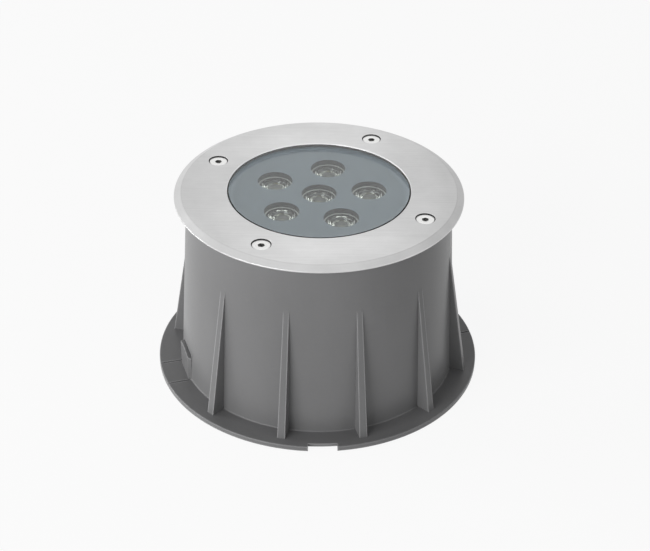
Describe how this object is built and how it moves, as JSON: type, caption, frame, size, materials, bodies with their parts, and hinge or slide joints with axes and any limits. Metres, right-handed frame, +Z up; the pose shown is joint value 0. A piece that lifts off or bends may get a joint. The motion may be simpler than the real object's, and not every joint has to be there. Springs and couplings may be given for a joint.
{
  "type": "recessed light",
  "caption": "Round drive-over ground light: brushed steel cover ring with flush glass over round lenses, finned housing, ribbed plastic mounting sleeve with foot flange.",
  "frame": {"origin": "middle of the foot flange's underside, on the ground the sleeve stands on", "axes": "+Z up along the light's axis to the glass, -Y to the front as pictured, +X to the right"},
  "size_m": [0.2076, 0.2074, 0.1245],
  "materials": {
    "sleeve_plastic": "satin moulded grey",
    "cast_housing": "die cast, clear passivated",
    "ring_steel": "fine brushed stainless",
    "screw_steel": "turned stainless",
    "clear_glass": "clear toughened",
    "black_rubber": "silicone black",
    "mask_paint": "grey-blue satin paint",
    "clear_lens": "clear moulded optic",
    "holder_plastic": "pale moulded",
    "led_plastic": "yellow phosphor under a clear dome",
    "white_board": "white solder mask on metal",
    "pad_rubber": "soft heat pad",
    "plain_aluminium": "milled",
    "lead_rubber": "insulated lead",
    "case_plastic": "pale moulded",
    "black_plastic": "black nylon",
    "screw_brass": "plain brass"
  },
  "bodies": {
    "sleeve": {"sleeve": "sleeve_plastic"},
    "luminaire": {"housing": "cast_housing", "mask_plate": "mask_paint", "lens_1": "clear_lens", "lens_2": "clear_lens", "lens_3": "clear_lens", "lens_4": "clear_lens", "lens_5": "clear_lens", "lens_6": "clear_lens", "lens_holder_1": "holder_plastic", "lens_holder_2": "holder_plastic", "lens_holder_3": "holder_plastic", "lens_holder_4": "holder_plastic", "lens_holder_5": "holder_plastic", "lens_holder_6": "holder_plastic", "led_1": "led_plastic", "led_2": "led_plastic", "led_3": "led_plastic", "led_4": "led_plastic", "led_5": "led_plastic", "led_6": "led_plastic", "led_board": "white_board", "thermal_pad": "pad_rubber", "carrier_plate": "plain_aluminium", "carrier_screws": "screw_steel", "board_screws": "screw_steel", "lead_grommet": "black_rubber", "led_leads": "lead_rubber", "driver_case": "case_plastic", "driver_potting": "black_plastic", "driver_screws": "screw_steel", "input_leads": "lead_rubber", "terminal_block": "case_plastic", "terminal_screws": "screw_brass", "gland_body": "black_plastic", "gland_o_ring": "black_rubber", "gland_locknut": "black_plastic", "gland_bush": "black_rubber", "blanking_plug": "black_plastic", "plug_o_ring": "black_rubber"},
    "cover": {"cover_ring": "ring_steel", "glass": "clear_glass", "glass_gasket": "black_rubber"},
    "screw_1": {"ring_screw_1": "screw_steel"},
    "screw_2": {"ring_screw_2": "screw_steel"},
    "screw_3": {"ring_screw_3": "screw_steel"},
    "screw_4": {"ring_screw_4": "screw_steel"},
    "nut": {"gland_nut": "black_plastic"}
  },
  "joints": [
    {"name": "luminaire_lift", "type": "slide", "parent": "sleeve", "child": "luminaire", "axis": [0, 0, 1], "range_m": [0, 0.13]},
    {"name": "cover_lift", "type": "slide", "parent": "luminaire", "child": "cover", "axis": [0, 0, 1], "range_m": [0, 0.04]},
    {"name": "screw_1_turn", "type": "hinge", "parent": "cover", "child": "screw_1", "pos_m": [-0.03377, -0.06432, 0.118], "axis": [0, 0, 1], "continuous": true},
    {"name": "screw_2_turn", "type": "hinge", "parent": "cover", "child": "screw_2", "pos_m": [0.06432, -0.03377, 0.118], "axis": [0, 0, 1], "continuous": true},
    {"name": "screw_3_turn", "type": "hinge", "parent": "cover", "child": "screw_3", "pos_m": [0.03377, 0.06432, 0.118], "axis": [0, 0, 1], "continuous": true},
    {"name": "screw_4_turn", "type": "hinge", "parent": "cover", "child": "screw_4", "pos_m": [-0.06432, 0.03377, 0.118], "axis": [0, 0, 1], "continuous": true},
    {"name": "gland_nut_turn", "type": "hinge", "parent": "luminaire", "child": "nut", "pos_m": [0.025, 0.02, 0.032], "axis": [0, 0, 1], "continuous": true}
  ]
}
